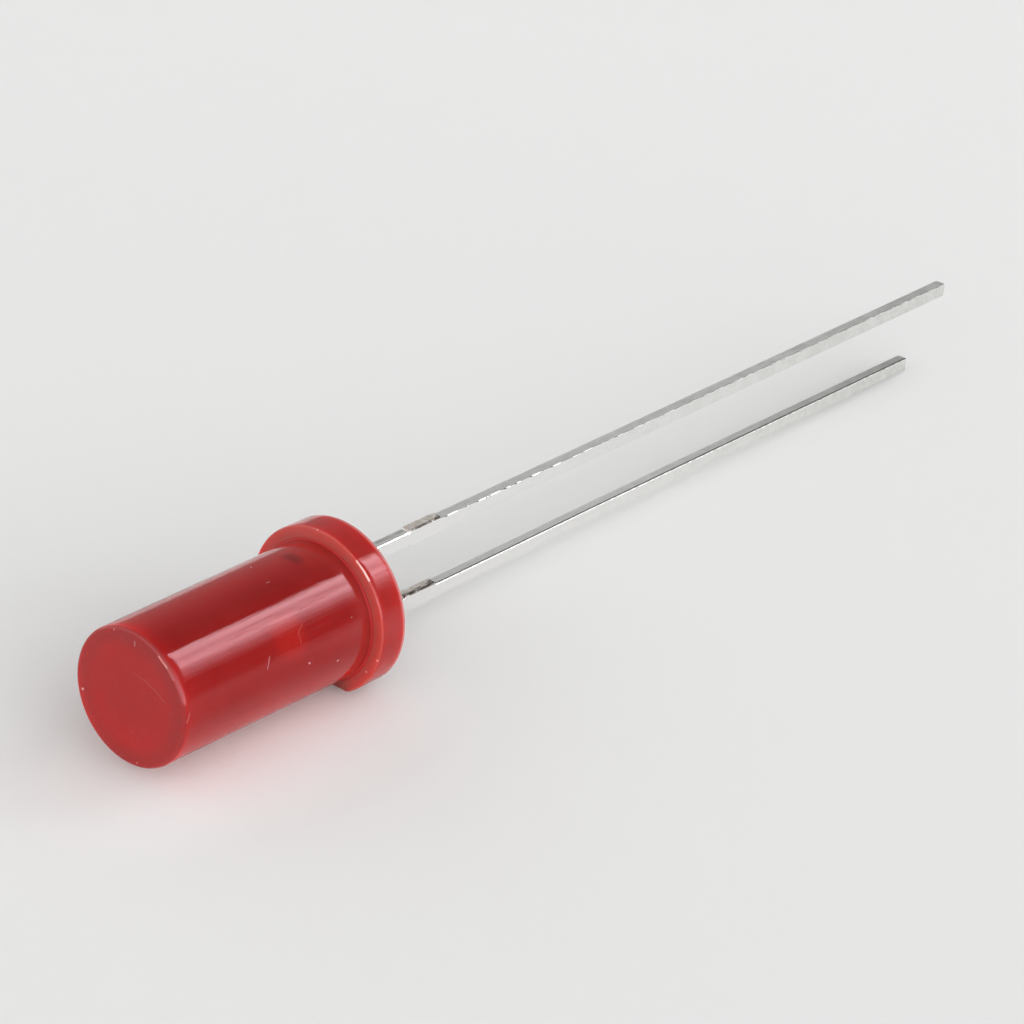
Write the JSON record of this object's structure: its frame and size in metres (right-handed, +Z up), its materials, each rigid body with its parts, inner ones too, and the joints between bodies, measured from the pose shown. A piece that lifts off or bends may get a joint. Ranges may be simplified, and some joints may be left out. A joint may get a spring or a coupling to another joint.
{
  "type": "through-hole led",
  "caption": "Flat-top 5 mm indicator LED lying on its side: red diffused epoxy barrel with a flange and polarity flat on two straight tinned leads.",
  "frame": {"origin": "centre of the bounding box's base, on the surface that the LED lies on", "axes": "+X from the lens front towards the lead tips, +Z up with the anode lead above the cathode lead; the LED's own axis dips 1.82 degrees below +X"},
  "size_m": [0.0436, 0.006, 0.0055],
  "materials": {
    "epoxy": "gloss",
    "tinned_steel": "satin",
    "silver_adhesive": "satin",
    "chip": "satin",
    "gold": "polished"
  },
  "bodies": {
    "root": {"case": "epoxy", "cathode_lead": "tinned_steel", "anode_lead": "tinned_steel", "die_attach": "silver_adhesive", "die": "chip", "bond_wire": "gold"}
  },
  "joints": []
}
